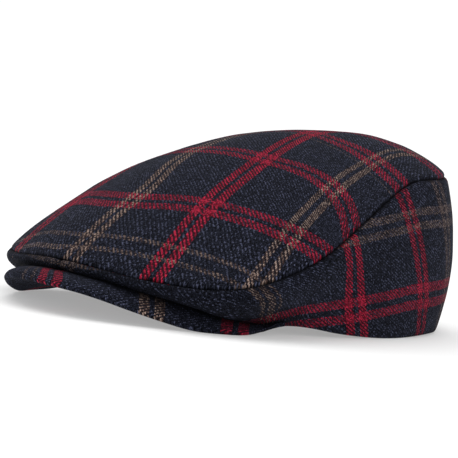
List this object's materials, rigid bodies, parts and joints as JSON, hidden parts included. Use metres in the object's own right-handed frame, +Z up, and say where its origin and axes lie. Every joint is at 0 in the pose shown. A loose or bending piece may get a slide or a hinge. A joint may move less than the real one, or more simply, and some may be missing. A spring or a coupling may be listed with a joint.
{
  "type": "flat cap",
  "caption": "Soft checked cloth flat cap with a low rounded crown that falls forward over a short stiff peak, worn on the head.",
  "frame": {"origin": "centre of the bounding box at the level surface that the cap rests on", "axes": "-Y towards the peak, +X to the wearer's left, +Z up"},
  "size_m": [0.1998, 0.2469, 0.0975],
  "materials": {
    "top_panel": "woven wool twill with a red and tan check",
    "side_panel_left": "woven wool twill with a red and tan check",
    "side_panel_right": "woven wool twill with a red and tan check",
    "peak_upper_cover": "woven wool twill with a red and tan check",
    "peak_under_cover": "woven wool twill with a red and tan check"
  },
  "bodies": {
    "root": {"top_panel": "top_panel", "side_panel_left": "side_panel_left", "side_panel_right": "side_panel_right", "peak_upper_cover": "peak_upper_cover", "peak_under_cover": "peak_under_cover"}
  },
  "joints": []
}
